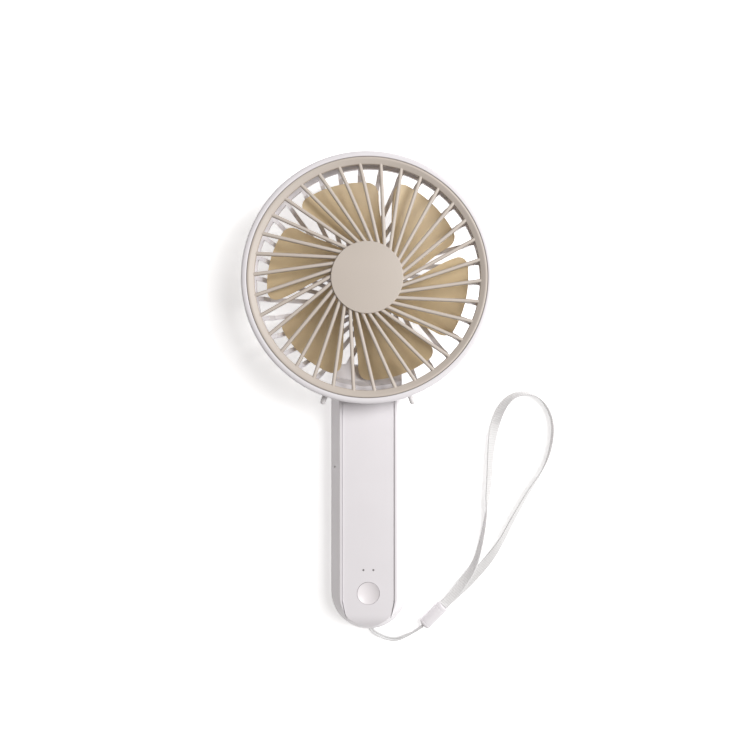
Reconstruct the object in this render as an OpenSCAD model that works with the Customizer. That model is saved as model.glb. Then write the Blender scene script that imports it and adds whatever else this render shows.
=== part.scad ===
// Handheld folding fan with a wrist strap, lying on its back.
// +Z is the front of the fan, +Y points from the handle to the head.

/* [Head] */
// Outside diameter of the round head
head_d = 107; // [106.6:0.1:108]
// Depth of the head, from its back disc to the face of the grille
head_depth = 36; // [35.6:0.1:38]
// Number of ribs in each grille
rib_count = 34; // [24:1:38]
// Width of one front rib
rib_w = 1.5; // [1:0.05:1.6]
// Diameter of the plain disc in the middle of the front grille
disc_d = 30.6; // [29:0.2:32]

/* [Fan wheel] */
// Number of blades
blade_count = 6; // [3:1:7]
// Radius from the shaft to the blade tips
blade_r = 43.5; // [38:0.5:44]
// Angle that one blade covers
blade_span = 50; // [30:1:50]
// Height from a blade's rear edge to its front edge
blade_rise = 12; // [8:0.5:12]

/* [Handle] */
// Width of the handle
handle_w = 34.3; // [34.2:0.1:36]
// Width of the recessed panel between the rails
panel_w = 23; // [22:0.1:23.4]
// Depth of the panel below the rails
panel_drop = 0.5; // [0.5:0.1:1]
// Diameter of the power button
button_d = 9.8; // [8:0.1:10.4]

/* [Lanyard] */
// Width of the woven wrist strap
strap_w = 4.4; // [3.6:0.1:5]
// Thickness of the woven wrist strap
strap_t = 0.7; // [0.5:0.1:0.8]
// Diameter of the string
string_d = 1.1; // [0.9:0.1:1.2]

/* [Hidden] */
$fn = 96;
white = [0.90, 0.89, 0.89];
greige = [0.78, 0.74, 0.69];
amber = [0.62, 0.50, 0.36];
steel = [0.62, 0.63, 0.65];
copper = [0.72, 0.42, 0.22];
board_green = [0.10, 0.36, 0.20];
dark = [0.12, 0.12, 0.13];

// Head
head_y = 51.5;
head_r = head_d / 2;
rim_in = 51;
rim_back = 21;
front_z = head_depth;
grille_out = rim_in - 0.15;
grille_in = 47.8;
// The ring's face slopes down to this height at its inner edge
ring_low = front_z - 0.9;
rib_top = front_z - 0.7;
rib_deep = 2.2;
rear_rib_w = 1.9;
// Each front rib passes this far to one side of the centre
rib_offset = 7.9;
rib_turn = 29.05;
disc_r = disc_d / 2;
foot_turn = 20;
foot_z = 29;
foot_r = 1.15;

// Fan wheel
wheel_z = 25;
hub_r = 13.6;
can_r = 11.4;
shaft_r = 1;

// Hinge between the head and the handle
hinge_y = 10.6;
hinge_z = 7;
knuckle_r = 4.5;
knuckle_x = 9.8;
ear_in = 10.5;
ear_out = 14;
pin_r = 1.5;

// Handle
side = handle_w / 2;
bottom_y = -105;
end_y = bottom_y + side;
top_y = 2.6;
part_z = 9;
rail_z = 20;
panel_z = rail_z - panel_drop;
wall = 2;
panel_x = panel_w / 2;
// The panel narrows by this angle towards its rounded end
tongue_turn = 11.8;
button_y = -86.4;
button_r = button_d / 2;
lens_x = 2.2;
lens_y = -76.1;
screw_x = 10;
screw_ys = [-12, -57];
board_z = 8;
board_t = 1.2;
socket_y = -67;
bar_y = -99.3;
bar_r = 1.65;

// Route of the string's middle line, from the handle to the clip
string_route = [
    [0, -103, 9], [1.2, -106.4, 6.8], [4.2, -110, 2.6], [9, -112.4, 0.9],
    [13.3, -112.6, 0.75], [17.5, -110.9, 1.1], [21.2, -108.8, 1.9], [24.6, -106.1, 2.9]
];
string_twist = [0, 0, 0, 0, 10, 45, 80, 90];
clip_from = [25, -105.7, 2.9];
clip_to = [34.1, -96.5, 2.9];
clip_r = 2.9;
// Route of the strap: x, y, height of its lower edge, tilt of the ribbon
strap_route = [
    [34.3, -96.4, 3.1, 0], [39.6, -90.7, 2.1, -8], [45, -83.8, 0.6, -38], [48.7, -77.7, 0, -60],
    [51.2, -70, 0, -72], [53, -61.5, 0, -80], [54.2, -53.8, 0, -92], [54.9, -46.1, 0, -118],
    [55.6, -38.3, 0, -128], [56.1, -29.1, 0, -132], [56.9, -20.7, 0, -148], [58.5, -13, 0, -178],
    [61.5, -5.2, 0, -212], [66.5, 0.2, 0, -238], [72.7, 1.7, 0, -252], [78.8, -0.6, 0, -265],
    [83, -6, 0, -270], [85, -13, 0, -270], [84.6, -20.7, 0, -270], [82.7, -28.3, 0, -266],
    [79.6, -35.2, 0, -256], [75, -42.2, 0, -246], [70.4, -49.9, 0, -240], [65.7, -58.4, 0, -235],
    [61.2, -66.9, 0, -226], [56, -74.9, 0, -200], [50.8, -81.2, 0, -187], [45, -87.3, 0.2, -181],
    [39, -92.6, 1, -180], [34.3, -96.4, 2.2, -180]
];

// Solid swept through a list of rings with the same number of points
module skin(rings) {
    n = len(rings[0]);
    m = len(rings);
    last = (m - 1) * n;
    sides = [
        for (i = [0 : m - 2], j = [0 : n - 1])
            each [
                [i * n + j, (i + 1) * n + j, i * n + (j + 1) % n],
                [i * n + (j + 1) % n, (i + 1) * n + j, (i + 1) * n + (j + 1) % n]
            ]
    ];
    caps = [
        for (j = [0 : n / 2 - 2])
            each [
                [j, j + 1, n - 2 - j],
                [j, n - 2 - j, n - 1 - j],
                [last + j, last + n - 2 - j, last + j + 1],
                [last + j, last + n - 1 - j, last + n - 2 - j]
            ]
    ];
    polyhedron(points = [for (r = rings) each r], faces = concat(sides, caps));
}

// Plate drawn in the Y-Z plane and given a thickness along X
module side_plate(x0, x1, points) {
    translate([x0, 0, 0])
        rotate([90, 0, 90])
            linear_extrude(x1 - x0)
                polygon(points);
}

// Round bar between two points
module bar(a, b, r) {
    d = b - a;
    translate(a)
        rotate([0, acos(d.z / norm(d)), atan2(d.y, d.x)])
            cylinder(r = r, h = norm(d), $fn = 24);
}

// Smooth curve through the points of a list, at position t
function knot(list, i) = list[max(0, min(len(list) - 1, i))];
function mix4(a, b, c, d, f) =
    0.5 * (2 * b + (c - a) * f + (2 * a - 5 * b + 4 * c - d) * f * f
    + (3 * b - a - 3 * c + d) * f * f * f);
function along(list, t) =
    let (i = min(floor(t), len(list) - 2), f = t - i)
    mix4(knot(list, i - 1), knot(list, i), knot(list, i + 1), knot(list, i + 2), f);

// Head

module head_rim() {
    color(white)
        translate([0, head_y, 0])
            difference() {
                rotate_extrude()
                    polygon(concat(
                        [[rim_in, rim_back], [head_r - 0.8, rim_back], [head_r, rim_back + 0.8]],
                        [for (a = [0 : 15 : 90])
                            [head_r - 1.5 + 1.5 * cos(a), front_z - 1.5 + 1.5 * sin(a)]],
                        [[rim_in + 0.3, front_z], [rim_in, front_z - 0.3], [rim_in, front_z - 4],
                         [rim_in - 1.4, front_z - 4], [rim_in - 1.4, front_z - 5],
                         [rim_in, front_z - 6]]
                    ));
                for (s = [-1, 1])
                    rotate([0, 0, -90 + s * foot_turn])
                        translate([rim_in + 0.9, 0, foot_z])
                            rotate([0, 90, 0])
                                cylinder(r = foot_r, h = 6, $fn = 32);
            }
}

// Straight ribs that pass to one side of the centre
module ribs(turn, shift, width, low, high, near, far) {
    for (i = [0 : rib_count - 1])
        rotate([0, 0, turn + i * 360 / rib_count])
            translate([near, shift - width / 2, low])
                cube([far - near, width, high - low]);
}

module front_grille() {
    color(greige)
        translate([0, head_y, 0]) {
            difference() {
                union() {
                    rotate_extrude()
                        polygon([
                            [grille_in + 1.5, front_z - 4], [grille_out, front_z - 4],
                            [grille_out, front_z - 0.4], [grille_out - 0.4, front_z],
                            [grille_out - 0.9, front_z], [grille_in + 0.4, ring_low],
                            [grille_in, ring_low - 0.4], [grille_in, ring_low - 1.3]
                        ]);
                    translate([0, 0, rib_top - rib_deep])
                        cylinder(r = disc_r - 1, h = front_z - 1 - rib_top + rib_deep);
                    ribs(rib_turn, -rib_offset, rib_w, rib_top - rib_deep, rib_top, 11, 48.4);
                }
                translate([0, 0, front_z - 1])
                    cylinder(r = disc_r + 0.2, h = 2);
            }
        }
}

module grille_disc() {
    color(greige)
        translate([0, head_y, front_z - 1])
            rotate_extrude()
                polygon([[0, 0], [disc_r, 0], [disc_r, 0.75], [disc_r - 0.25, 1], [0, 1]]);
}

module rear_bowl() {
    rotate_extrude()
        polygon([
            [15, 0], [46, 16.3], [47.6, rim_back], [rim_in - 0.05, rim_back],
            [rim_in - 0.05, 23.2], [46.2, 23.2], [44.2, 17.7], [15, 2.3]
        ]);
}

module hinge_ear(x0) {
    side_plate(x0, x0 + ear_out - ear_in, [
        [hinge_y - knuckle_r, hinge_z], [hinge_y - knuckle_r, 17.2],
        [hinge_y + knuckle_r, 12.8], [hinge_y + knuckle_r, hinge_z]
    ]);
    translate([x0, hinge_y, hinge_z])
        rotate([0, 90, 0])
            cylinder(r = knuckle_r, h = ear_out - ear_in);
}

module rear_housing() {
    color(white)
        difference() {
            union() {
                translate([0, head_y, 0]) {
                    intersection() {
                        rear_bowl();
                        union() {
                            ribs(0, rib_offset, rear_rib_w, -1, 25, 11, 50);
                            translate([-14.75, -52, -1])
                                cube([29.5, 15, 26]);
                        }
                    }
                    rotate_extrude()
                        polygon([
                            [49, rim_back], [rim_in - 0.05, rim_back],
                            [rim_in - 0.05, 23.2], [49, 23.2]
                        ]);
                    cylinder(r = 16, h = 2);
                    difference() {
                        cylinder(r = 16, h = 12.6);
                        translate([0, 0, -1])
                            cylinder(r = 14, h = 15);
                    }
                    cylinder(r = 3.5, h = 24.5, $fn = 48);
                    for (s = [-1, 1])
                        translate([s * 9.5, 0, 0])
                            cylinder(r = 2, h = 10.6, $fn = 32);
                }
                side_plate(-2.6, 2.6, [[36.5, 1], [7.5, 16.5], [7.5, 17.6], [36.5, 12.6]]);
                hinge_ear(ear_in);
                hinge_ear(-ear_out);
            }
            translate([0, head_y, 3])
                cylinder(r = 2.5, h = 22, $fn = 48);
            for (s = [-1, 1])
                translate([s * 9.5, head_y, 4])
                    cylinder(r = 0.8, h = 8, $fn = 24);
            side_plate(-1.3, 1.3, [[40, 13.6], [40, 11.9], [36.4, 11.9], [9, 16.1], [9, 18.6]]);
            translate([-ear_out - 1, hinge_y, hinge_z])
                rotate([0, 90, 0])
                    cylinder(r = pin_r, h = 2 * ear_out + 2, $fn = 48);
        }
}

module stand_feet() {
    color(white)
        translate([0, head_y, foot_z])
            for (s = [-1, 1])
                rotate([0, 0, -90 + s * foot_turn])
                    rotate([0, 90, 0]) {
                        translate([0, 0, rim_in + 0.9])
                            cylinder(r = foot_r, h = 4.3, $fn = 32);
                        translate([0, 0, rim_in + 5.2])
                            sphere(r = foot_r, $fn = 32);
                    }
}

module shaft_bearing() {
    color(copper)
        translate([0, head_y, 3])
            difference() {
                cylinder(r = 2.5, h = 21, $fn = 48);
                translate([0, 0, -1])
                    cylinder(r = shaft_r + 0.04, h = 23, $fn = 48);
            }
}

module stator_core() {
    color(steel)
        translate([0, head_y, 15.5]) {
            difference() {
                union() {
                    cylinder(r = 5.2, h = 8, $fn = 48);
                    for (i = [0 : 8])
                        rotate([0, 0, i * 40])
                            translate([4, -0.9, 0.01])
                                cube([4.4, 1.8, 7.98]);
                }
                translate([0, 0, -1])
                    cylinder(r = 3.5, h = 10, $fn = 48);
            }
            for (i = [0 : 8])
                rotate([0, 0, i * 40])
                    intersection() {
                        difference() {
                            cylinder(r = 9, h = 8);
                            translate([0, 0, -1])
                                cylinder(r = 7.9, h = 10);
                        }
                        translate([5, -2.4, -1])
                            cube([6, 4.8, 10]);
                    }
        }
}

module stator_windings() {
    color(copper)
        translate([0, head_y, 15.5])
            for (i = [0 : 8])
                rotate([0, 0, i * 40])
                    difference() {
                        translate([5.5, -1.75, -0.9])
                            cube([2.2, 3.5, 9.8]);
                        translate([5, -0.9, 0])
                            cube([3.2, 1.8, 8]);
                    }
}

module motor_board() {
    color(board_green)
        translate([0, head_y, 10.6])
            difference() {
                cylinder(r = 12.5, h = 1.2);
                translate([0, 0, -1])
                    cylinder(r = 3.6, h = 4, $fn = 48);
                for (s = [-1, 1])
                    translate([s * 9.5, 0, -1])
                        cylinder(r = 0.9, h = 4, $fn = 24);
            }
}

module motor_screws() {
    color(steel)
        for (s = [-1, 1])
            translate([s * 9.5, head_y, 0]) {
                translate([0, 0, 5])
                    cylinder(r = 0.8, h = 7, $fn = 24);
                translate([0, 0, 11.8])
                    cylinder(r = 1.5, h = 0.9, $fn = 32);
            }
}

module motor_leads() {
    color(dark)
        for (s = [-1, 1])
            bar([s * 0.62, 36, 12.55], [s * 0.62, 9.3, 16.65], 0.5);
}

module hinge_pin() {
    color(steel)
        translate([-ear_out, hinge_y, hinge_z])
            rotate([0, 90, 0])
                cylinder(r = pin_r, h = 2 * ear_out, $fn = 48);
}

module hinge_washers() {
    color(steel)
        for (x = [-ear_in, ear_in - 0.4])
            translate([x, hinge_y, hinge_z])
                rotate([0, 90, 0])
                    difference() {
                        cylinder(r = 3.8, h = 0.4, $fn = 48);
                        translate([0, 0, -1])
                            cylinder(r = pin_r, h = 3, $fn = 48);
                    }
}

// Fan wheel

// Angle of a blade's middle line, which bends with the distance from the shaft
function blade_mid(r) = 108.3 - 0.031 * (40.5 - r) * (40.5 - r);
// Tip radius, drawn in towards the two rounded corners
function corner(v) = v > 0 ? 4.4 : 5.5;
function tip_r(v) =
    let (c = corner(v), d = (1 - abs(v)) * blade_span / 2 * PI / 180 * blade_r)
    d < c ? blade_r - c + sqrt(c * c - (c - d) * (c - d)) : blade_r;
function blade_point(u, v, face) =
    let (
        r = 12.6 + u * (tip_r(v) - 12.6),
        a = blade_mid(r) + v * blade_span / 2,
        z = wheel_z + blade_rise / 2 * v - 1.1 * (1 - v * v),
        t = 0.25 + 0.4 * sqrt(max(0, 1 - v * v))
    )
    [r * cos(a), r * sin(a), z + face * t];
function blade_ring(u) = concat(
    [for (w = [-7 : 7]) blade_point(u, sin(w * 90 / 7), -1)],
    [for (w = [7 : -1 : -7]) blade_point(u, sin(w * 90 / 7), 1)]
);

module impeller() {
    color(amber)
        translate([0, head_y, 0]) {
            difference() {
                union() {
                    difference() {
                        rotate_extrude()
                            polygon([
                                [0, 14], [hub_r, 14], [hub_r, 30.8], [hub_r - 1, 31.8], [0, 31.8]
                            ]);
                        translate([0, 0, 13])
                            cylinder(r = can_r, h = 16.8);
                    }
                    translate([0, 0, 27])
                        cylinder(r = 3, h = 4, $fn = 48);
                }
                translate([0, 0, 20])
                    cylinder(r = shaft_r, h = 11, $fn = 48);
            }
            for (i = [0 : blade_count - 1])
                rotate([0, 0, i * 360 / blade_count])
                    skin([for (k = [0 : 8]) blade_ring(k / 8)]);
        }
}

module rotor_can() {
    color(steel)
        translate([0, head_y, 14.6])
            difference() {
                cylinder(r = can_r, h = 12.4);
                translate([0, 0, -1])
                    cylinder(r = can_r - 0.8, h = 12.4);
                cylinder(r = shaft_r, h = 14, $fn = 48);
            }
}

module magnet_ring() {
    color(dark)
        translate([0, head_y, 15])
            difference() {
                cylinder(r = can_r - 0.8, h = 9);
                translate([0, 0, -1])
                    cylinder(r = 9.6, h = 11);
            }
}

module motor_shaft() {
    color(steel)
        translate([0, head_y, 4.5])
            cylinder(r = shaft_r, h = 26.4, $fn = 48);
}

// Handle

// Half outline of the handle's section: x across, then height
front_half = [
    [0, part_z], [side - 0.2, part_z], [side, part_z + 0.25], [side, part_z + 1],
    [side - 4.1, rail_z - 0.6], [side - 4.35, rail_z - 0.15], [side - 4.7, rail_z], [0, rail_z]
];
front_room = [[0, 8], [side - wall, 8], [side - wall, 9.6], [side - 5.55, 17], [0, 17]];
rear_half = concat(
    [[0, 0], [side - 6.65, 0]],
    [for (a = [-75 : 15 : 0]) [side - 6.65 + 6.65 * cos(a), 7 + 7 * sin(a)]],
    [[side, part_z - 0.25], [side - 0.2, part_z], [0, part_z]]
);
rear_room = concat(
    [[0, 2], [side - 6.65, 2]],
    [for (a = [-75 : 15 : 0]) [side - 6.65 + 4.65 * cos(a), 7 + 5 * sin(a)]],
    [[side - wall, part_z + 1], [0, part_z + 1]]
);
function mirrored(half) = [for (i = [len(half) - 2 : -1 : 1]) [-half[i].x, half[i].y]];

// Straight length of one section with a round end
module handle_block(half, y) {
    translate([0, y, 0])
        rotate([90, 0, 0])
            linear_extrude(y - end_y)
                polygon(concat(half, mirrored(half)));
    translate([0, end_y, 0])
        rotate_extrude()
            polygon(half);
}

// Slot through both shells where the string leaves the handle
module string_slot() {
    translate([-1.7, bottom_y - 1, part_z - 2.2])
        cube([3.4, 4.5, 3.2]);
}

// Space above the narrowing end of the panel, between two places along the handle
module tongue(from, to) {
    linear_extrude(8)
        intersection() {
            polygon([
                [-panel_x, -90], [panel_x, -90],
                [panel_x - 17 * tan(tongue_turn), -107], [17 * tan(tongue_turn) - panel_x, -107]
            ]);
            translate([-panel_x, from])
                square([panel_w, to - from]);
        }
}

module front_shell() {
    color(white)
        difference() {
            union() {
                difference() {
                    handle_block(front_half, top_y);
                    handle_block(front_room, top_y - wall);
                }
                for (s = [-1, 1], y = screw_ys)
                    translate([s * screw_x, y, part_z])
                        cylinder(r = 2.4, h = 9, $fn = 32);
                translate([0, bar_y, 15])
                    cylinder(r = 2.8, h = 3, $fn = 32);
            }
            translate([-panel_x, end_y, panel_z])
                cube([panel_w, top_y - end_y + 1, 4]);
            translate([0, end_y, panel_z])
                cylinder(r = panel_x, h = 4);
            translate([0, 0, panel_z])
                tongue(bottom_y - 1, -90);
            difference() {
                translate([0, 0, 14.4])
                    tongue(-103.2, -96.1);
                translate([-panel_x, -96.1, panel_z - 7.5])
                    rotate([0, 90, 0])
                        cylinder(r = 7.5, h = panel_w);
            }
            translate([0, button_y, 14])
                cylinder(r = button_r + 0.15, h = 8, $fn = 64);
            for (s = [-1, 1])
                translate([s * lens_x, lens_y, 14])
                    cylinder(r = 0.45, h = 8, $fn = 24);
            for (s = [-1, 1], y = screw_ys)
                translate([s * screw_x, y, part_z - 1])
                    cylinder(r = 1, h = 7.5, $fn = 32);
            translate([-knuckle_x, top_y - wall - 1, part_z - 1])
                cube([2 * knuckle_x, wall + 2, hinge_z + knuckle_r - part_z + 1]);
            translate([-side - 1, -31, 14.5])
                rotate([0, 90, 0])
                    cylinder(r = 0.6, h = 6, $fn = 24);
            translate([0, bar_y, 12])
                cylinder(r = bar_r, h = 4.5, $fn = 32);
            string_slot();
            // Seams between the ends of the rails and the panel's rounded end
            for (s = [-1, 1], part = [[0, 6, 1.4], [6, 3.6, 3.4]])
                translate([s * panel_x, -90, panel_z - part[2]])
                    rotate([0, 0, -s * tongue_turn])
                        translate([-0.15, -part[0] - part[1], 0])
                            cube([0.3, part[1], 6]);
            // Grooves along both edges of the panel
            for (s = [-1, 1])
                translate([s * panel_x - 0.12, -90, panel_z - 0.5])
                    cube([0.24, 94, 2]);
        }
}

module rear_shell() {
    color(white)
        difference() {
            union() {
                difference() {
                    handle_block(rear_half, top_y);
                    handle_block(rear_room, top_y - wall);
                }
                for (s = [-1, 1], y = screw_ys)
                    translate([s * screw_x, y, 1])
                        cylinder(r = 2.8, h = part_z - 1, $fn = 32);
                for (s = [-1, 1], y = [-93, -72])
                    translate([s * 5.8, y, 1])
                        cylinder(r = 1.8, h = board_z - 1, $fn = 32);
                translate([0, bar_y, 1])
                    cylinder(r = 2.8, h = 4, $fn = 32);
            }
            for (s = [-1, 1], y = screw_ys)
                translate([s * screw_x, y, -1]) {
                    cylinder(r = 1.15, h = 12, $fn = 32);
                    cylinder(r = 2, h = 3.4, $fn = 32);
                }
            for (s = [-1, 1], y = [-93, -72])
                translate([s * 5.8, y, 3.5])
                    cylinder(r = 0.8, h = 6, $fn = 24);
            translate([-knuckle_x, top_y - wall - 1, hinge_z - knuckle_r])
                cube([2 * knuckle_x, wall + 2, 10]);
            translate([-4.6, socket_y - 1.75, -1])
                cube([9.2, 3.5, 4]);
            translate([0, bar_y, 3])
                cylinder(r = bar_r, h = 6, $fn = 32);
            string_slot();
        }
}

module hinge_knuckle() {
    color(white)
        difference() {
            union() {
                translate([-knuckle_x, hinge_y, hinge_z])
                    rotate([0, 90, 0])
                        cylinder(r = knuckle_r, h = 2 * knuckle_x);
                translate([-knuckle_x, -3, hinge_z - knuckle_r])
                    cube([2 * knuckle_x, 3 + hinge_y, 2 * knuckle_r]);
            }
            translate([-knuckle_x - 1, hinge_y, hinge_z])
                rotate([0, 90, 0])
                    cylinder(r = pin_r + 0.05, h = 2 * knuckle_x + 2, $fn = 48);
            for (s = [-1, 1])
                translate([s * 6, -4, hinge_z])
                    rotate([-90, 0, 0])
                        cylinder(r = 1.2, h = 9, $fn = 24);
        }
}

module shell_screws() {
    color(steel)
        for (s = [-1, 1], y = screw_ys)
            translate([s * screw_x, y, 0]) {
                translate([0, 0, 2.4])
                    cylinder(r = 1, h = 12.6, $fn = 32);
                translate([0, 0, 0.6])
                    difference() {
                        cylinder(r = 1.85, h = 1.8, $fn = 32);
                        for (a = [0, 90])
                            rotate([0, 0, a])
                                translate([-1.1, -0.25, -1])
                                    cube([2.2, 0.5, 2]);
                    }
            }
}

module circuit_board() {
    color(board_green)
        difference() {
            translate([-8, -96.5, board_z])
                cube([16, 34.5, board_t]);
            for (s = [-1, 1], y = [-93, -72])
                translate([s * 5.8, y, board_z - 1])
                    cylinder(r = 0.9, h = 4, $fn = 24);
        }
}

module board_parts() {
    top = board_z + board_t;
    color(dark) {
        translate([-2.5, -72.8, top])
            cube([5, 4, 1.1]);
        translate([-7, -82, top])
            cube([3, 3, 1.4]);
        translate([4, -82, top])
            cube([3, 4, 0.9]);
        for (y = [-90, -88.4, -86.8, -85.2])
            translate([5.2, y, top])
                cube([1.6, 0.8, 0.5]);
    }
}

module board_screws() {
    color(steel)
        for (s = [-1, 1], y = [-93, -72])
            translate([s * 5.8, y, 0]) {
                translate([0, 0, 4.5])
                    cylinder(r = 0.8, h = 5, $fn = 24);
                translate([0, 0, board_z + board_t])
                    cylinder(r = 1.5, h = 0.9, $fn = 32);
            }
}

module tact_switch() {
    color(dark)
        translate([0, button_y, board_z + board_t])
            difference() {
                translate([-3, -3, 0])
                    cube([6, 6, 2.2]);
                translate([0, 0, 0.7])
                    cylinder(r = 1.75, h = 4, $fn = 48);
            }
}

module indicator_lenses() {
    color([0.85, 0.85, 0.86])
        for (s = [-1, 1])
            translate([s * lens_x, lens_y, 16])
                cylinder(r = 0.45, h = panel_z - 16 - 0.05, $fn = 24);
}

module indicator_lamps() {
    color([0.9, 0.85, 0.5])
        for (s = [-1, 1])
            translate([s * lens_x - 0.6, lens_y - 0.8, board_z + board_t])
                cube([1.2, 1.6, 0.7]);
}

module charging_socket() {
    color(steel)
        difference() {
            translate([-4.5, socket_y - 1.65, 0.5])
                cube([9, 3.3, board_z - 0.5]);
            translate([-4.2, socket_y - 1.35, -0.5])
                cube([8.4, 2.7, 6.8]);
        }
    color(dark)
        translate([-3.3, socket_y - 0.35, 1.4])
            cube([6.6, 0.7, 5]);
}

module battery_cell() {
    color([0.25, 0.42, 0.62])
        translate([0, -5, 9.8])
            rotate([90, 0, 0])
                cylinder(r = 7, h = 50);
}

module battery_tabs() {
    color(steel) {
        translate([-2.5, -5, 6])
            cube([5, 0.3, 7.6]);
        translate([-2.5, -55.3, 6])
            cube([5, 0.3, 7.6]);
    }
}

module battery_leads() {
    color([0.6, 0.1, 0.1])
        for (s = [-1, 1])
            bar([s * 2, -55.3, 9.8], [s * 2, -63.5, 9.8], 0.55);
}

module lanyard_bar() {
    color(steel)
        translate([0, bar_y, 3])
            cylinder(r = bar_r, h = 13.5, $fn = 32);
}

// Button

module power_button() {
    color(white)
        translate([0, button_y, 0])
            difference() {
                union() {
                    translate([0, 0, 15.6])
                        cylinder(r = button_r, h = panel_z + 0.2 - 15.6, $fn = 64);
                    translate([0, 0, 15.6])
                        cylinder(r = button_r + 0.9, h = 0.9, $fn = 64);
                    translate([0, 0, 13.4])
                        cylinder(r = 2, h = 3, $fn = 32);
                }
                translate([0, 0, panel_z + 0.2 + 14 - 0.95])
                    sphere(r = 14, $fn = 128);
            }
}

module switch_plunger() {
    color(dark)
        translate([0, button_y, 10.8])
            cylinder(r = 1.7, h = 2.6, $fn = 48);
}

// Lanyard

function string_mid(t) = along(string_route, t);
function string_side(t) =
    let (d = string_mid(min(7, t + 0.05)) - string_mid(max(0, t - 0.05)),
         n = norm([d.x, d.y]), w = along(string_twist, t))
    [-d.y / n * cos(w), d.x / n * cos(w), sin(w)];
function strand(t, s) = string_mid(t) + s * 0.56 * string_d / 1.1 * string_side(t);
// The cord leaves the clip, goes round the bar and comes back to the clip
string_line = concat(
    [for (k = [28 : -1 : 0]) strand(k / 4, 1)],
    [for (a = [-15 : 30 : 195])
        [2.25 * cos(a), bar_y + 2.25 * sin(a), part_z]],
    [for (k = [0 : 28]) strand(k / 4, -1)]
);
function turn_along(list, i) =
    let (d = knot(list, i + 1) - knot(list, i - 1))
    d / norm(d);
function round_ring(p, d, r, n) =
    let (a = cross([0, 0, 1], d), s = a / norm(a), u = cross(d, s))
    [for (j = [0 : n - 1]) p + r * (cos(j * 360 / n) * s + sin(j * 360 / n) * u)];

module lanyard_string() {
    color(white)
        skin([for (i = [0 : len(string_line) - 1])
            round_ring(string_line[i], turn_along(string_line, i), string_d / 2, 8)]);
}

module lanyard_clip() {
    color(white)
        difference() {
            bar(clip_from, clip_to, clip_r);
            bar(clip_from + [-0.7, -0.7, 0], clip_from + [1.4, 1.4, 0], 1.5);
        }
}

function strap_ring(t) =
    let (p = along(strap_route, t), q = along(strap_route, t + 0.05),
         o = along(strap_route, t - 0.05), dx = q.x - o.x, dy = q.y - o.y,
         n = norm([dx, dy]), s = sin(p[3]), c = cos(p[3]),
         z = max(0, p.z) + strap_w / 2 * abs(s) + strap_t / 2 * abs(c),
         wide = [-dy / n * c, dx / n * c, s] * strap_w / 2,
         thick = [dy / n * s, -dx / n * s, c] * strap_t / 2)
    [for (e = [[1, 1], [-1, 1], [-1, -1], [1, -1]])
        [p.x, p.y, z] + e[0] * wide + e[1] * thick];

module wrist_strap() {
    color(white)
        skin([for (k = [0 : 58]) strap_ring(k / 2)]);
}

head_rim();
front_grille();
grille_disc();
rear_housing();
stand_feet();
shaft_bearing();
stator_core();
stator_windings();
motor_board();
motor_screws();
motor_leads();
hinge_pin();
hinge_washers();
impeller();
rotor_can();
magnet_ring();
motor_shaft();
hinge_knuckle();
front_shell();
rear_shell();
shell_screws();
circuit_board();
board_parts();
board_screws();
tact_switch();
indicator_lenses();
indicator_lamps();
charging_socket();
battery_cell();
battery_tabs();
battery_leads();
lanyard_bar();
power_button();
switch_plunger();
lanyard_string();
lanyard_clip();
wrist_strap();
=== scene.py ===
import bpy, bmesh
from math import sin, cos, pi, radians, sqrt
from mathutils import Vector, Matrix


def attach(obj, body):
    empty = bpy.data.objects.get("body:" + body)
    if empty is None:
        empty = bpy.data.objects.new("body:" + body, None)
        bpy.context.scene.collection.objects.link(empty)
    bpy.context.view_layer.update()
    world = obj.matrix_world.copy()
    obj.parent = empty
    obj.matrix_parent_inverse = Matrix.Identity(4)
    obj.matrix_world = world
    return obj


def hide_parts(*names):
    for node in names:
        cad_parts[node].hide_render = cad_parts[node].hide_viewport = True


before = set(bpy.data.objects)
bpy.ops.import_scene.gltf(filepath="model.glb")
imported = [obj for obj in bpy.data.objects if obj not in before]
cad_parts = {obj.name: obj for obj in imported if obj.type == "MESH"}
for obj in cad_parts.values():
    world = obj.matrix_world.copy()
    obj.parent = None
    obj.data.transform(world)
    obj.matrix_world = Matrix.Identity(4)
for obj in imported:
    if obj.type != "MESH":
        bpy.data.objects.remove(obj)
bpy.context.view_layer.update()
mm = 0.001
headCentre = Vector((0, 51.5, 0))
axisGap = 0.01  # a turned outline stops this short of its axis
print("frame loaded:", len(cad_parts), "pieces")


class Wire:  # one output socket that takes part in sums
    def __init__(self, owner, socket):
        self.owner, self.socket = owner, socket

    def sums(self, operation, a, b=None, clamp=False):
        values = [a] if b is None else [a, b]
        return self.owner.node("ShaderNodeMath", {"operation": operation, "use_clamp": clamp}, values)

    def __add__(self, other): return self.sums("ADD", self, other)
    def __radd__(self, other): return self.sums("ADD", other, self)
    def __sub__(self, other): return self.sums("SUBTRACT", self, other)
    def __mul__(self, other): return self.sums("MULTIPLY", self, other)
    def __gt__(self, other): return self.sums("GREATER_THAN", self, other)
    def __abs__(self): return self.sums("ABSOLUTE", self)
    def sine(self): return self.sums("SINE", self)
    def clamped(self): return self.sums("ADD", self, 0.0, True)


class Tree:  # a node tree in which one method makes every kind of node
    def __init__(self, tree):
        self.tree = tree

    def node(self, kind, settings=None, values=(), out=0):
        made = self.tree.nodes.new(kind)
        for key, value in (settings or {}).items():
            setattr(made, key, value)
        for key, value in values.items() if isinstance(values, dict) else enumerate(values):
            if isinstance(value, Wire):
                self.tree.links.new(value.socket, made.inputs[key])
            else:
                made.inputs[key].default_value = value
        return Wire(self, made.outputs[out])

    def blend(self, factor, a, b):
        return self.node("ShaderNodeMix", {"data_type": "RGBA"}, {0: factor, 6: a, 7: b}, 2)

    def split(self, vector, axis):
        return self.node("ShaderNodeSeparateXYZ", {}, [vector], axis)


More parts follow.
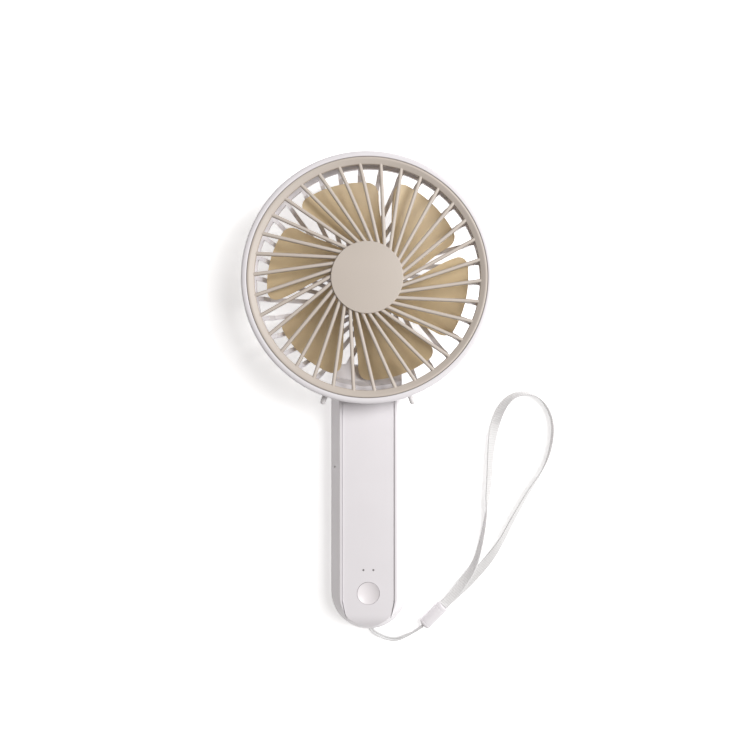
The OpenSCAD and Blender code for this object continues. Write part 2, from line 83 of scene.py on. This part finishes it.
class Paint(Tree):  # one finish and its shader
    def __init__(self, name, look):
        self.material = bpy.data.materials.new(name)
        self.material.use_nodes = True
        super().__init__(self.material.node_tree)
        self.tree.nodes.clear()
        end = self.tree.nodes.new("ShaderNodeOutputMaterial")
        self.shader = self.tree.nodes.new("ShaderNodeBsdfPrincipled")
        self.tree.links.new(self.shader.outputs[0], end.inputs[0])
        for key, value in look.items():
            self.shader.inputs[key].default_value = value

    def place(self):
        return self.node("ShaderNodeTexCoord", out="Object")

    def noise(self, scale, detail=3, rough=0.5, vector=None):
        values = {"Scale": scale, "Detail": detail, "Roughness": rough}
        values["Vector"] = vector or self.place()
        return self.node("ShaderNodeTexNoise", {}, values, "Fac")

    def stretch(self, vector, scale):
        return self.node("ShaderNodeVectorMath", {"operation": "MULTIPLY"}, [vector, scale])

    def feed(self, name, value):
        self.tree.links.new(value.socket, self.shader.inputs[name])

    def relief(self, height, distance, strength):
        values = {"Height": height, "Distance": distance, "Strength": strength}
        self.feed("Normal", self.node("ShaderNodeBump", {}, values, "Normal"))


def shade(r, g, b):
    return (r, g, b, 1)


studio = {
    "cameraHeight": 0.366,
    "cameraPlace": (0.0109, 0.0102),
    "lens": 37.6,
    "shift": (-0.024, 0.0),
    "keyPlace": (0.55, 0.18, 0.81),
    "keyAim": (0, 0, 0.01),
    "keySize": (0.45, 0.6),
    "keyPower": 10.3,
    "sky": 0.40,
    "skyLeft": shade(0.22, 0.175, 0.145),
    "skyRight": shade(1, 0.97, 0.96),
    "skyReach": 0.8,  # how far to each side the two colours blend
    "floorColour": (0.95, 0.95, 0.95),
    "floorMottle": 0.99,
    "floorGlow": 0.5,
    "floorHalf": 3,
    "floorDrop": 0.0002,
}


def makeCamera():
    data = bpy.data.cameras.new("camera")
    data.lens = studio["lens"]
    data.sensor_width = 36
    data.shift_x, data.shift_y = studio["shift"]
    data.clip_start = 0.01
    camera = bpy.data.objects.new("camera", data)
    camera.location = (*studio["cameraPlace"], studio["cameraHeight"])
    bpy.context.collection.objects.link(camera)
    bpy.context.scene.camera = camera


def makeKey():
    data = bpy.data.lights.new("key", "AREA")
    data.shape = "RECTANGLE"
    data.size, data.size_y = studio["keySize"]
    data.energy = studio["keyPower"]
    light = bpy.data.objects.new("key", data)
    light.location = studio["keyPlace"]
    aim = Vector(studio["keyAim"]) - Vector(studio["keyPlace"])
    light.rotation_euler = aim.to_track_quat("-Z", "Y").to_euler()
    bpy.context.collection.objects.link(light)


def makeSky():
    # soft surrounding light that fades towards the left
    world = bpy.data.worlds.new("studio")
    world.use_nodes = True
    sky = Tree(world.node_tree)
    background = sky.tree.nodes["Background"]
    background.inputs["Strength"].default_value = studio["sky"]
    across = sky.split(sky.node("ShaderNodeTexCoord", out="Generated"), 0)
    fade = sky.node("ShaderNodeMapRange", {}, {
        "Value": across, "From Min": -studio["skyReach"], "From Max": studio["skyReach"]})
    tint = sky.blend(fade, studio["skyLeft"], studio["skyRight"])
    sky.tree.links.new(tint.socket, background.inputs["Color"])
    bpy.context.scene.world = world


def floorPaint():
    look = {"Specular IOR Level": 0.1, "Emission Color": shade(1, 1, 1), "Emission Strength": studio["floorGlow"]}
    paint = Paint("studioFloor", look)
    soft = paint.noise(14, 2)
    pale = shade(*studio["floorColour"])
    dim = shade(*(c * studio["floorMottle"] for c in studio["floorColour"]))
    paint.feed("Base Color", paint.blend(soft, dim, pale))
    paint.feed("Roughness", (0.7 + (soft - 0.5) * 0.1).clamped())
    return paint.material


def makeFloor():
    half = studio["floorHalf"]
    mesh = bpy.data.meshes.new("floor")
    corners = [(-half, -half, 0), (half, -half, 0), (half, half, 0), (-half, half, 0)]
    mesh.from_pydata(corners, [], [(0, 1, 2, 3)])
    mesh.materials.append(floorPaint())
    floor = bpy.data.objects.new("floor", mesh)
    floor.location.z = -studio["floorDrop"]
    bpy.context.collection.objects.link(floor)


makeCamera()
makeKey()
makeSky()
makeFloor()
bpy.context.scene.view_settings.view_transform = "Standard"
print("studio ready")


# moulded skins: scale of the fine grain and of the slow flow marks, relief, and the darker tone
satin = {"fine": 5200, "flow": 28, "depth": 0.00006, "strength": 0.35, "shadow": 0.965}
glossy = {"fine": 3800, "flow": 40, "depth": 0.00003, "strength": 0.2, "shadow": 0.97}
edgeLift = {"from": 0.53, "rate": 9, "lighter": 1.04, "share": 0.35, "shine": 0.06}
finishes = {
    "shellWhite": {"colour": (0.77, 0.745, 0.767), "roughness": 0.42, "grain": satin},
    "grilleGreige": {"colour": (0.545, 0.485, 0.43), "roughness": 0.46, "grain": satin},
    "footWhite": {"colour": (0.66, 0.64, 0.64), "roughness": 0.62, "grain": satin},
    "blackPlastic": {"colour": (0.035, 0.035, 0.038), "roughness": 0.5, "grain": satin},
    "magnetBlack": {"colour": (0.05, 0.05, 0.052), "roughness": 0.55, "grain": satin},
    "buttonWhite": {"colour": (0.80, 0.765, 0.782), "roughness": 0.3, "grain": glossy},
    "boardGreen": {"colour": (0.03, 0.17, 0.08), "roughness": 0.3, "grain": glossy},
    "cellBlue": {"colour": (0.07, 0.16, 0.34), "roughness": 0.28, "grain": glossy},
}


def mouldedPlastic(name, colour, roughness, grain):
    # moulded skin: fine grain, slow flow marks, and convex edges a little lighter and shinier
    paint = Paint(name, {"IOR": 1.49, "Specular IOR Level": 0.45})
    fine = paint.noise(grain["fine"], 3, 0.6)
    flow = paint.noise(grain["flow"], 2)
    edge = paint.node("ShaderNodeNewGeometry", out="Pointiness")
    # convex edges, found from pointiness, a little lighter in colour and lower in roughness
    convexEdge = ((edge - edgeLift["from"]) * edgeLift["rate"]).clamped()
    dark = shade(*(c * grain["shadow"] for c in colour))
    light = shade(*(min(1, c * edgeLift["lighter"]) for c in colour))
    base = paint.blend((flow * 1.6 - 0.3).clamped(), dark, light)
    paint.feed("Base Color", paint.blend(convexEdge * edgeLift["share"], base, light))
    rough = roughness + (fine - 0.5) * 0.16 + (flow - 0.5) * 0.1 - convexEdge * edgeLift["shine"]
    paint.feed("Roughness", rough.clamped())
    paint.relief(fine, grain["depth"], grain["strength"])
    return paint.material


metals = {
    "nickel": {"colour": (0.62, 0.62, 0.63), "roughness": 0.3, "lines": 900},
    "sheetSteel": {"colour": (0.42, 0.43, 0.45), "roughness": 0.42, "lines": 2400},
    "bronze": {"colour": (0.52, 0.34, 0.17), "roughness": 0.45, "lines": 1500},
}


def plainMetal(name, colour, roughness, lines):
    # plated or plain metal with fine drawn lines and faint dulling
    paint = Paint(name, {"Metallic": 1.0, "IOR": 2.4})
    drawn = paint.noise(lines, 4, 0.65, paint.stretch(paint.place(), (1, 1, 12)))
    dull = paint.noise(300)
    dark = shade(*(c * 0.82 for c in colour))
    paint.feed("Base Color", paint.blend((dull * 1.4 - 0.2).clamped(), dark, shade(*colour)))
    paint.feed("Roughness", (roughness + (drawn - 0.5) * 0.2 + (dull - 0.5) * 0.15).clamped())
    paint.relief(drawn, 0.00003, 0.3)
    return paint.material


amber = {
    "transmission": 0.46, "roughness": 0.5,
    "deep": shade(0.66, 0.52, 0.315), "pale": shade(0.76, 0.612, 0.395), "streak": shade(0.80, 0.66, 0.43),
}


def amberPlastic():
    # smoky amber moulding: light passes through, and flow marks and streaks run in it
    look = {"IOR": 1.5, "Transmission Weight": amber["transmission"], "Specular IOR Level": 0.3,
            "Coat Roughness": 0.3}
    paint = Paint("amberPlastic", look)
    flow = paint.noise(55, 3, 0.55)
    fine = paint.noise(2600, 2)
    streak = paint.noise(90, 3, 0.6, paint.stretch(paint.place(), (1, 1, 0.25)))
    tone = paint.blend((flow * 1.5 - 0.25).clamped(), amber["deep"], amber["pale"])
    paint.feed("Base Color", paint.blend((streak - 0.45).clamped() * 0.5, tone, amber["streak"]))
    paint.feed("Roughness", (amber["roughness"] + (fine - 0.5) * 0.1 + (flow - 0.5) * 0.12).clamped())
    paint.feed("Coat Weight", (0.06 + flow * 0.08).clamped())
    paint.relief(flow, 0.00008, 0.25)
    return paint.material


weave = {
    "weftPitch": 1.05, "warpPitch": 0.9, "selvedgeFrom": 1.75, "depth": 0.00018,
    "dark": shade(0.60, 0.59, 0.585), "light": shade(0.76, 0.755, 0.755), "fibre": shade(0.71, 0.71, 0.71),
}


def wovenTape():
    # narrow plain weave: weft ribs across the tape, warp ends along it and a bound selvedge
    paint = Paint("wovenTape", {"Sheen Weight": 0.25, "Sheen Roughness": 0.5, "Specular IOR Level": 0.25})
    uv = paint.node("ShaderNodeUVMap", {"uv_map": "tape"})
    along, across = paint.split(uv, 0), paint.split(uv, 1)
    weft = (along * (2 * pi / weave["weftPitch"])).sine()
    warp = (across * (2 * pi / weave["warpPitch"])).sine()
    fuzz = paint.noise(4200, 4, 0.7)
    slow = paint.noise(160)
    selvedge = abs(across) > weave["selvedgeFrom"]
    height = weft * warp * 0.3 + weft * 0.25 + 0.5 + (fuzz - 0.5) * 0.5 + selvedge * 0.15
    # painted shade: the tone follows the weave's height, darker in the hollows between threads and lighter on the
    # raised selvedge, with slow random tone mixed in
    tone = paint.blend((height * 0.8 + (slow - 0.5) * 0.5).clamped(), weave["dark"], weave["light"])
    paint.feed("Base Color", paint.blend((fuzz * 0.3).clamped(), tone, weave["fibre"]))
    paint.feed("Roughness", (0.78 + (fuzz - 0.5) * 0.2).clamped())
    paint.relief(height, weave["depth"], 0.7)
    return paint.material


braid = {
    "pitch": 0.9, "strands": 8, "depth": 0.00016,
    "dark": shade(0.68, 0.675, 0.675), "light": shade(0.82, 0.82, 0.82),
}


def braidedCord():
    # thin braided cord: crossing strands and loose fibre
    paint = Paint("twistedCord", {"Sheen Weight": 0.2, "Sheen Roughness": 0.5, "Specular IOR Level": 0.25})
    uv = paint.node("ShaderNodeUVMap", {"uv_map": "cord"})
    along, around = paint.split(uv, 0), paint.split(uv, 1)
    left = (along * (2 * pi / braid["pitch"]) + around * braid["strands"] * pi).sine()
    right = (along * (2 * pi / braid["pitch"]) - around * braid["strands"] * pi).sine()
    fuzz = paint.noise(5200, 4, 0.7)
    height = left * right * 0.5 + 0.5 + (fuzz - 0.5) * 0.4
    # painted shade: the colour follows the strands' height, darker where one strand dips under another
    paint.feed("Base Color", paint.blend(height.clamped(), braid["dark"], braid["light"]))
    paint.feed("Roughness", (0.75 + (fuzz - 0.5) * 0.2).clamped())
    paint.relief(height, braid["depth"], 0.8)
    return paint.material


winding = {"wirePitch": 0.00035, "dark": shade(0.35, 0.12, 0.04), "bright": shade(0.72, 0.33, 0.13)}


def woundCopper():
    # enamelled wire laid turn beside turn
    paint = Paint("woundCopper", {"Metallic": 0.8, "Coat Roughness": 0.15})
    height = (paint.split(paint.place(), 2) * (2 * pi / winding["wirePitch"])).sine()
    dull = paint.noise(700)
    # partly painted shade: darker in the grooves between turns, with random dulling mixed in
    paint.feed("Base Color", paint.blend((height * 0.3 + dull).clamped(), winding["dark"], winding["bright"]))
    paint.feed("Roughness", (0.32 + (dull - 0.5) * 0.2).clamped())
    paint.relief(height, 0.00012, 0.6)
    return paint.material


lens = {"transmission": 0.3, "dark": shade(0.20, 0.185, 0.18), "light": shade(0.29, 0.275, 0.27)}


def clearLens():
    # small diffusing window over a lamp that is off
    paint = Paint("clearLens", {"IOR": 1.5, "Transmission Weight": lens["transmission"]})
    grain = paint.noise(6000, 2)
    paint.feed("Base Color", paint.blend(grain, lens["dark"], lens["light"]))
    paint.feed("Roughness", (0.25 + grain * 0.2).clamped())
    return paint.material


paints = {name: mouldedPlastic(name, **finish) for name, finish in finishes.items()}
paints.update({name: plainMetal(name, **metal) for name, metal in metals.items()})
paints.update(amber=amberPlastic(), tape=wovenTape(), cord=braidedCord(), copper=woundCopper(), lens=clearLens())
print("finishes ready:", len(paints))


def fixNormals(obj):
    skin = bmesh.new()
    skin.from_mesh(obj.data)
    bmesh.ops.recalc_face_normals(skin, faces=skin.faces)
    skin.to_mesh(obj.data)
    skin.free()


def makeObject(name, points, faces, paint, body, slotName, uvs=None, uvName="tape", sharp=40):
    mesh = bpy.data.meshes.new(name)
    mesh.from_pydata([tuple(Vector(p) * mm) for p in points], [], faces)
    if uvs is not None:
        layer = mesh.uv_layers.new(name=uvName)
        for loop in mesh.loops:
            layer.data[loop.index].uv = uvs[loop.vertex_index]
    mesh.shade_smooth()
    mesh.set_sharp_from_angle(angle=radians(sharp))
    mesh.materials.append(paints[paint])
    made = bpy.data.objects.new(name, mesh)
    bpy.context.collection.objects.link(made)
    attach(made, body)
    fixNormals(made)
    return made


def sweepRings(rings, closed=False, caps=True):
    # joins rings with the same number of points into one skin
    count, points, faces = len(rings[0]), [p for ring in rings for p in ring], []
    turns = len(rings) if closed else len(rings) - 1
    for i in range(turns):
        a, b = i * count, (i + 1) % len(rings) * count
        for j in range(count):
            k = (j + 1) % count
            faces.append((a + j, a + k, b + k, b + j))
    if caps and not closed:
        faces.append(tuple(range(count - 1, -1, -1)))
        faces.append(tuple((len(rings) - 1) * count + j for j in range(count)))
    return points, faces


def roundedProfile(corners, steps):
    # closed outline whose corners (x, z, radius) are rounded
    outline = []
    for i, (x, z, radius) in enumerate(corners):
        here = Vector((x, z))
        before = Vector(corners[i - 1][:2]) - here
        after = Vector(corners[(i + 1) % len(corners)][:2]) - here
        if radius <= 0:
            outline.append(here)
            continue
        back, ahead = here + before.normalized() * radius, here + after.normalized() * radius
        for k in range(steps + 1):
            t = k / steps
            outline.append(back * (1 - t) ** 2 + here * 2 * t * (1 - t) + ahead * t * t)
    return outline


def lathed(outline, centre, segments):
    # turns a closed outline round the vertical through centre
    rings = []
    for i in range(segments):
        a = 2 * pi * i / segments
        rings.append([(centre[0] + p.x * cos(a), centre[1] + p.x * sin(a), p.y) for p in outline])
    return sweepRings(rings, closed=True)


def added(skin, block):
    # two skins in one list of points
    points, faces = skin
    return points + block[0], faces + [tuple(len(points) + k for k in f) for f in block[1]]


def smoothAlong(points, t):
    # smooth curve through the points, with t counted in points
    i = min(int(t), len(points) - 2)
    f = t - i
    a, b = points[max(i - 1, 0)], points[i]
    c, d = points[i + 1], points[min(i + 2, len(points) - 1)]
    return [0.5 * (2 * q + (r - p) * f + (2 * p - 5 * q + 4 * r - s) * f * f + (3 * q - p - 3 * r + s) * f ** 3)
            for p, q, r, s in zip(a, b, c, d)]


def leftOf(route, t):
    # level unit vector to the left of the route's heading
    ahead = smoothAlong(route, min(len(route) - 1, t + 0.05))
    behind = smoothAlong(route, max(0, t - 0.05))
    dx, dy = ahead[0] - behind[0], ahead[1] - behind[1]
    flat = sqrt(dx * dx + dy * dy)
    return -dy / flat, dx / flat


def frameAlong(way):
    # sideways and upward unit vectors for a round section along way
    side = Vector((0, 0, 1)).cross(way).normalized()
    return side, way.cross(side)


def pathLength(points):
    return sum((Vector(a) - Vector(b)).length for a, b in zip(points, points[1:]))


lanyard = {
    "stringDiameter": 1.1,
    "strandGap": 0.56,  # from the middle between the two strands to each
    "strandRelief": 0.04,
    "strandTurn": 7,
    "barPlace": (0, -99.3, 9),
    "barTurn": 2.25,
    "stringRoute": [(0, -103, 9), (1.2, -106.4, 6.8), (4.2, -110, 2.6), (9, -112.4, 0.9),
                    (13.3, -112.6, 0.75), (17.5, -110.9, 1.1), (21.2, -108.8, 1.9), (24.6, -106.1, 2.9)],
    "stringTwist": [(0,), (0,), (0,), (0,), (10,), (45,), (80,), (90,)],
    "tapeWidth": 4.4,
    "tapeThickness": 0.7,
    "tapeRound": 0.26,
    "tapeSwell": 0.05,
    "swellRate": 10.1,
    # x, y, height of the lowest edge, tilt in degrees
    "tapeRoute": [
        (34.3, -96.4, 3.1, 0), (39.6, -90.7, 2.1, -8), (45, -83.8, 0.6, -38),
        (48.7, -77.7, 0, -60), (51.2, -70, 0, -72), (53, -61.5, 0, -80), (54.2, -53.8, 0, -92),
        (54.9, -46.1, 0, -118), (55.6, -38.3, 0, -128), (56.1, -29.1, 0, -132),
        (56.9, -20.7, 0, -148), (58.5, -13, 0, -178), (61.5, -5.2, 0, -212),
        (66.5, 0.2, 0, -238), (72.7, 1.7, 0, -252), (78.8, -0.6, 0, -265), (83, -6, 0, -270),
        (85, -13, 0, -270), (84.6, -20.7, 0, -270), (82.7, -28.3, 0, -266),
        (79.6, -35.2, 0, -256), (75, -42.2, 0, -246), (70.4, -49.9, 0, -240),
        (65.7, -58.4, 0, -235), (61.2, -66.9, 0, -226), (56, -74.9, 0, -200),
        (50.8, -81.2, 0, -187), (45, -87.3, 0.2, -181), (39, -92.6, 1, -180),
        (34.3, -96.4, 2.2, -180)],
    "clipStart": (25, -105.7, 2.9),
    "clipEnd": (34.1, -96.5, 2.9),
    "clipRadius": 2.9,
    # distance in from each end, and how far the skin lies inside the radius
    "clipStringEnd": [
        (0.9, 2.88), (0.9, 1.6), (0.15, 1.55), (0, 1.3), (0, 1.15), (0.1, 0.75), (0.35, 0.38), (0.75, 0.12),
        (1.2, 0.02), (1.5, 0), (1.6, 0.14), (1.9, 0.14), (2, 0)],
    "clipTapeEnd": [
        (2.3, 0), (2.2, 0.14), (1.9, 0.14), (1.8, 0), (0.9, 0), (0.5, 0.03), (0.12, 0.2), (0, 0.55),
        (0, 2), (0.3, 2.3), (0.6, 2.88)],
}


def strandPoint(t, side):
    here = Vector(smoothAlong(lanyard["stringRoute"], t))
    x, y = leftOf(lanyard["stringRoute"], t)
    turn = radians(smoothAlong(lanyard["stringTwist"], t)[0])
    return here + side * lanyard["strandGap"] * Vector((x * cos(turn), y * cos(turn), sin(turn)))


def makeString():
    # from the clip to the bar, round it and back beside itself
    fine = 8
    count = fine * (len(lanyard["stringRoute"]) - 1)
    x, y, z = lanyard["barPlace"]
    reach = lanyard["barTurn"]
    line = [strandPoint(k / fine, 1) for k in range(count, -1, -1)]
    line += [Vector((x + reach * cos(radians(a)), y + reach * sin(radians(a)), z)) for a in range(-15, 200, 12)]
    line += [strandPoint(k / fine, -1) for k in range(count + 1)]
    relief, radius, around = lanyard["strandRelief"], lanyard["stringDiameter"] / 2, 20
    rings, uvs, run = [], [], 0
    for i, here in enumerate(line):
        way = (line[min(i + 1, len(line) - 1)] - line[max(i - 1, 0)]).normalized()
        side, up = frameAlong(way)
        run += (here - line[i - 1]).length if i else 0
        ring = []
        for j in range(around):
            a = 2 * pi * j / around
            swell = radius * (1 - relief + relief * cos(4 * a + run * lanyard["strandTurn"]))
            ring.append(here + swell * (cos(a) * side + sin(a) * up))
            uvs.append((run, j / around))
        rings.append(ring)
    points, faces = sweepRings(rings)
    string = makeObject("lanyardString", points, faces, "cord", "handle", "white_webbing", uvs, "cord", 80)
    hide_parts("lanyard_string")
    return string, [tuple(p * mm) for p in line]


def tapeSection():
    # closed outline with extra points across both wide faces, for the weave's ridges
    x, y, bend = lanyard["tapeWidth"] / 2, lanyard["tapeThickness"] / 2, lanyard["tapeRound"]
    outline = roundedProfile([(x, y, bend), (-x, y, bend), (-x, -y, bend), (x, -y, bend)], 3)
    section, parts = [], 8
    for i, p in enumerate(outline):
        section.append(p)
        q = outline[(i + 1) % len(outline)]
        if (q - p).length > x:
            section += [p + (q - p) * k / parts for k in range(1, parts)]
    return section


def makeTape():
    route, section, fine = lanyard["tapeRoute"], tapeSection(), 9
    x, y = lanyard["tapeWidth"] / 2, lanyard["tapeThickness"] / 2
    rings, uvs, middle, run, last = [], [], [], 0, None
    for k in range(fine * (len(route) - 1) + 1):
        t = k / fine
        placeX, placeY, low, tilt = smoothAlong(route, t)
        leftX, leftY = leftOf(route, t)
        s, c = sin(radians(tilt)), cos(radians(tilt))
        here = Vector((placeX, placeY, max(low, 0) + x * abs(s) + y * abs(c)))
        wide, deep = Vector((leftX * c, leftY * c, s)), Vector((-leftX * s, -leftY * s, c))
        run += (here - last).length if last else 0
        last = here
        middle.append(tuple(here * mm))
        swell = 1 + lanyard["tapeSwell"] * sin(run * lanyard["swellRate"])
        rings.append([here + wide * p.x + deep * p.y * swell for p in section])
        uvs += [(run, p.x) for p in section]
    points, faces = sweepRings(rings)
    tape = makeObject("wristStrap", points, faces, "tape", "handle", "white_webbing", uvs, "tape", 80)
    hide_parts("wrist_strap")
    return tape, middle


def makeClip():
    start, end = Vector(lanyard["clipStart"]), Vector(lanyard["clipEnd"])
    way, length, around = (end - start).normalized(), (end - start).length, 64
    side, up = frameAlong(way)
    profile = lanyard["clipStringEnd"] + [(length - along, inset) for along, inset in lanyard["clipTapeEnd"]]
    rings = []
    for along, inset in profile:
        radius = lanyard["clipRadius"] - inset
        turns = [2 * pi * j / around for j in range(around)]
        rings.append([start + way * along + radius * (cos(a) * side + sin(a) * up) for a in turns])
    points, faces = sweepRings(rings)
    clip = makeObject("lanyardClip", points, faces, "shellWhite", "handle", "white_shell", sharp=35)
    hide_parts("lanyard_clip")
    return clip


string, stringPath = makeString()
tape, tapePath = makeTape()
clip = makeClip()
print("lanyard: string %.3f m, strap %.3f m" % (pathLength(stringPath), pathLength(tapePath)))


head = {
    "rimRadius": 53.5, "rimInner": 51.0, "back": 21.0, "front": 36.0,
    "rimBackRound": 0.9, "rimFrontRound": 1.7,
    "ledgeDrop": 4, "ledgeWide": 1.4, "ledgeThick": 1,  # the rim's inner ledge, which carries the grille
    "ringOuter": 50.85, "ringInner": 47.8, "ringLow": 35.1, "ringLip": 1.3, "ringTop": 0.9, "undercut": 1.5,
    "ribs": 34, "ribWidth": 1.5, "ribDepth": 2.2, "ribTop": 35.3, "ribOffset": 7.9, "ribTurn": 29.05,
    "ribStations": (11.2, 20, 30, 40, 47.6),
    "discRadius": 15.3, "discThick": 1, "seatRadius": 14.3, "seatDrop": 2.9,
}


def makeRim():
    inner, outer, back, front = head["rimInner"], head["rimRadius"], head["back"], head["front"]
    lip, ledge = inner - head["ledgeWide"], front - head["ledgeDrop"]
    under = ledge - head["ledgeThick"]
    outline = roundedProfile([
        (inner, back, 0.2), (outer, back, head["rimBackRound"]), (outer, front, head["rimFrontRound"]),
        (inner, front, 0.35), (inner, ledge, 0), (lip, ledge, 0.2), (lip, under, 0.2),
        (inner, under - head["ledgeThick"], 0)], 8)
    points, faces = lathed(outline, headCentre, 256)
    rim = makeObject("headRim", points, faces, "shellWhite", "head", "white_shell", sharp=50)
    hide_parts("head_rim")


def ribBar(i):
    # one straight rib with a rounded top, passing to one side of the centre
    w, top, deep = head["ribWidth"] / 2, head["ribTop"], head["ribDepth"]
    section = roundedProfile([(-w, top - deep, 0.15), (w, top - deep, 0.15), (w, top, 0.68), (-w, top, 0.68)], 5)
    a = radians(head["ribTurn"] + i * 360 / head["ribs"])
    out, left = Vector((cos(a), sin(a), 0)), Vector((-sin(a), cos(a), 0))
    return [[headCentre + out * d + left * (p.x - head["ribOffset"]) + Vector((0, 0, p.y)) for p in section]
            for d in head["ribStations"]]


def makeGrille():
    # the ring with its undercut, the seat under the plain disc and the ribs between them
    front, inner, outer = head["front"], head["ringInner"], head["ringOuter"]
    foot, low = front - head["ledgeDrop"], head["ringLow"]
    ring = roundedProfile([
        (inner + head["undercut"], foot, 0.2), (outer, foot, 0.2), (outer, front, 0.45),
        (outer - head["ringTop"], front, 0.3), (inner, low, 0.4), (inner, low - head["ringLip"], 0.2)], 6)
    reach, bottom, top = head["seatRadius"], front - head["seatDrop"], front - head["discThick"]
    seat = roundedProfile([
        (2 * axisGap, bottom, 0), (reach, bottom, 0.3), (reach, top, 0.1), (2 * axisGap, top, 0)], 3)
    skin = added(lathed(ring, headCentre, 256), lathed(seat, headCentre, 96))
    for i in range(head["ribs"]):
        skin = added(skin, sweepRings(ribBar(i)))
    grille = makeObject("frontGrille", *skin, "grilleGreige", "head", "greige_shell", sharp=40)
    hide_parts("front_grille")


def makeDisc():
    r, front = head["discRadius"], head["front"]
    low = front - head["discThick"]
    outline = roundedProfile([(axisGap, low, 0), (r, low, 0.1), (r, front, 0.3), (axisGap, front, 0)], 5)
    points, faces = lathed(outline, headCentre, 192)
    disc = makeObject("grilleDisc", points, faces, "grilleGreige", "head", "greige_shell", sharp=50)
    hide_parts("grille_disc")


makeRim()
makeGrille()
makeDisc()
print("head ready")


wheel = {
    "blades": 6, "tip": 43.5, "root": 12.8, "span": 50, "rise": 12, "height": 25, "turn": 108.3,
    "sweep": 0.031, "sweepFrom": 40.5,  # degrees lost per square millimetre from this radius
    "cornerAhead": 4.4, "cornerBehind": 5.5, "dish": 1.1,
    "edge": 0.12, "swell": 0.5, "thinning": 0.25,  # half thickness at the edges, added in the middle, lost at the tip
    "hubRadius": 13.6, "hubTop": 31.8, "hubLow": 14, "hubWall": 2.2, "hubRound": 2,
    "bossRadius": 3, "bossLow": 27, "boreRadius": 1, "boreTop": 31,
}


def bladePoint(u, v, face):
    # u runs from root to tip, v from -1 to 1 across the blade, face is 1 above and -1 below
    c = wheel["cornerAhead"] if v > 0 else wheel["cornerBehind"]
    d = (1 - abs(v)) * radians(wheel["span"] / 2) * wheel["tip"]
    tip = wheel["tip"] - c + sqrt(max(0, c * c - (c - d) ** 2)) if d < c else wheel["tip"]
    r = wheel["root"] + u * (tip - wheel["root"])
    a = radians(wheel["turn"] - wheel["sweep"] * (wheel["sweepFrom"] - r) ** 2 + v * wheel["span"] / 2)
    z = wheel["height"] + wheel["rise"] / 2 * v - wheel["dish"] * (1 - v * v)
    t = wheel["edge"] + wheel["swell"] * sqrt(max(0, 1 - v * v)) * (1 - wheel["thinning"] * u)
    return Vector((r * cos(a), r * sin(a), z + face * t))


def hubOutline():
    # a cap with a rounded shoulder and, inside it, a bored boss for the shaft
    r, top, low, bend = wheel["hubRadius"], wheel["hubTop"], wheel["hubLow"], wheel["hubRound"]
    inner, roof = r - wheel["hubWall"], top - bend
    boss, bore = wheel["bossRadius"], wheel["boreRadius"]
    shoulder = [radians(a) for a in range(15, 91, 15)]
    outline = [(axisGap, top), (r - bend, top)]
    outline += [(r - bend + bend * sin(a), roof + bend * cos(a)) for a in shoulder]
    outline += [(r, low), (inner, low), (inner, roof), (boss, roof), (boss, wheel["bossLow"]),
                (bore, wheel["bossLow"]), (bore, wheel["boreTop"]), (axisGap, wheel["boreTop"])]
    return [Vector(p) for p in outline]


def bladeSkin(spin, rows=26, columns=24):
    # rows and columns crowd towards the tip and the edges
    rings = []
    vs = [sin(w / columns * pi / 2) for w in range(-columns, columns + 1)]
    for k in range(rows + 1):
        u = sin(k / rows * pi / 2)
        ring = [bladePoint(u, v, -1) for v in vs] + [bladePoint(u, v, 1) for v in reversed(vs)]
        rings.append([headCentre + spin @ p for p in ring])
    points, faces = sweepRings(rings, caps=False)
    count = len(rings[0])
    base = rows * count
    for j in range(count // 2 - 1):  # strips that close the root and the tip
        low = count - 1 - j
        faces.append((j, j + 1, low - 1, low))
        faces.append((base + j, base + low, base + low - 1, base + j + 1))
    return points, faces


def makeImpeller():
    skin = lathed(hubOutline(), headCentre, 128)
    for blade in range(wheel["blades"]):
        skin = added(skin, bladeSkin(Matrix.Rotation(blade * 2 * pi / wheel["blades"], 3, "Z")))
    impeller = makeObject("impeller", *skin, "amber", "fan_wheel", "amber_translucent", sharp=55)
    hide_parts("impeller")


makeImpeller()
print("fan wheel ready")


nodePaints = {
    "rear_housing": "shellWhite", "stand_feet": "footWhite", "shaft_bearing": "bronze",
    "stator_core": "sheetSteel", "stator_windings": "copper", "motor_board": "boardGreen",
    "motor_screws": "nickel", "motor_leads": "blackPlastic", "hinge_pin": "nickel",
    "hinge_washers": "nickel", "rotor_can": "nickel", "magnet_ring": "magnetBlack",
    "motor_shaft": "nickel", "hinge_knuckle": "shellWhite", "front_shell": "shellWhite",
    "rear_shell": "shellWhite", "shell_screws": "nickel", "circuit_board": "boardGreen",
    "board_parts": "blackPlastic", "board_screws": "nickel", "tact_switch": "blackPlastic",
    "indicator_lenses": "lens", "indicator_lamps": "lens", "charging_socket": "nickel",
    "battery_cell": "cellBlue", "battery_tabs": "nickel", "battery_leads": "blackPlastic",
    "lanyard_bar": "nickel", "power_button": "buttonWhite", "switch_plunger": "blackPlastic",
}
edgeSoftness = {"rear_housing": 0.2, "front_shell": 0.22, "rear_shell": 0.3, "hinge_knuckle": 0.4,
                "power_button": 0.35, "hinge_pin": 0.2, "stand_feet": 0.1}
for node, paint in nodePaints.items():
    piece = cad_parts[node]
    piece.data.materials.clear()
    piece.data.materials.append(paints[paint])
for node, width in edgeSoftness.items():
    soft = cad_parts[node].modifiers.new("softEdges", "BEVEL")
    soft.width = width * mm
    soft.segments = 3
    soft.limit_method = "ANGLE"
    soft.angle_limit = radians(38)
    soft.harden_normals = True
    soft.use_clamp_overlap = True
print("finishes applied:", len(nodePaints))

bpy.context.view_layer.update()
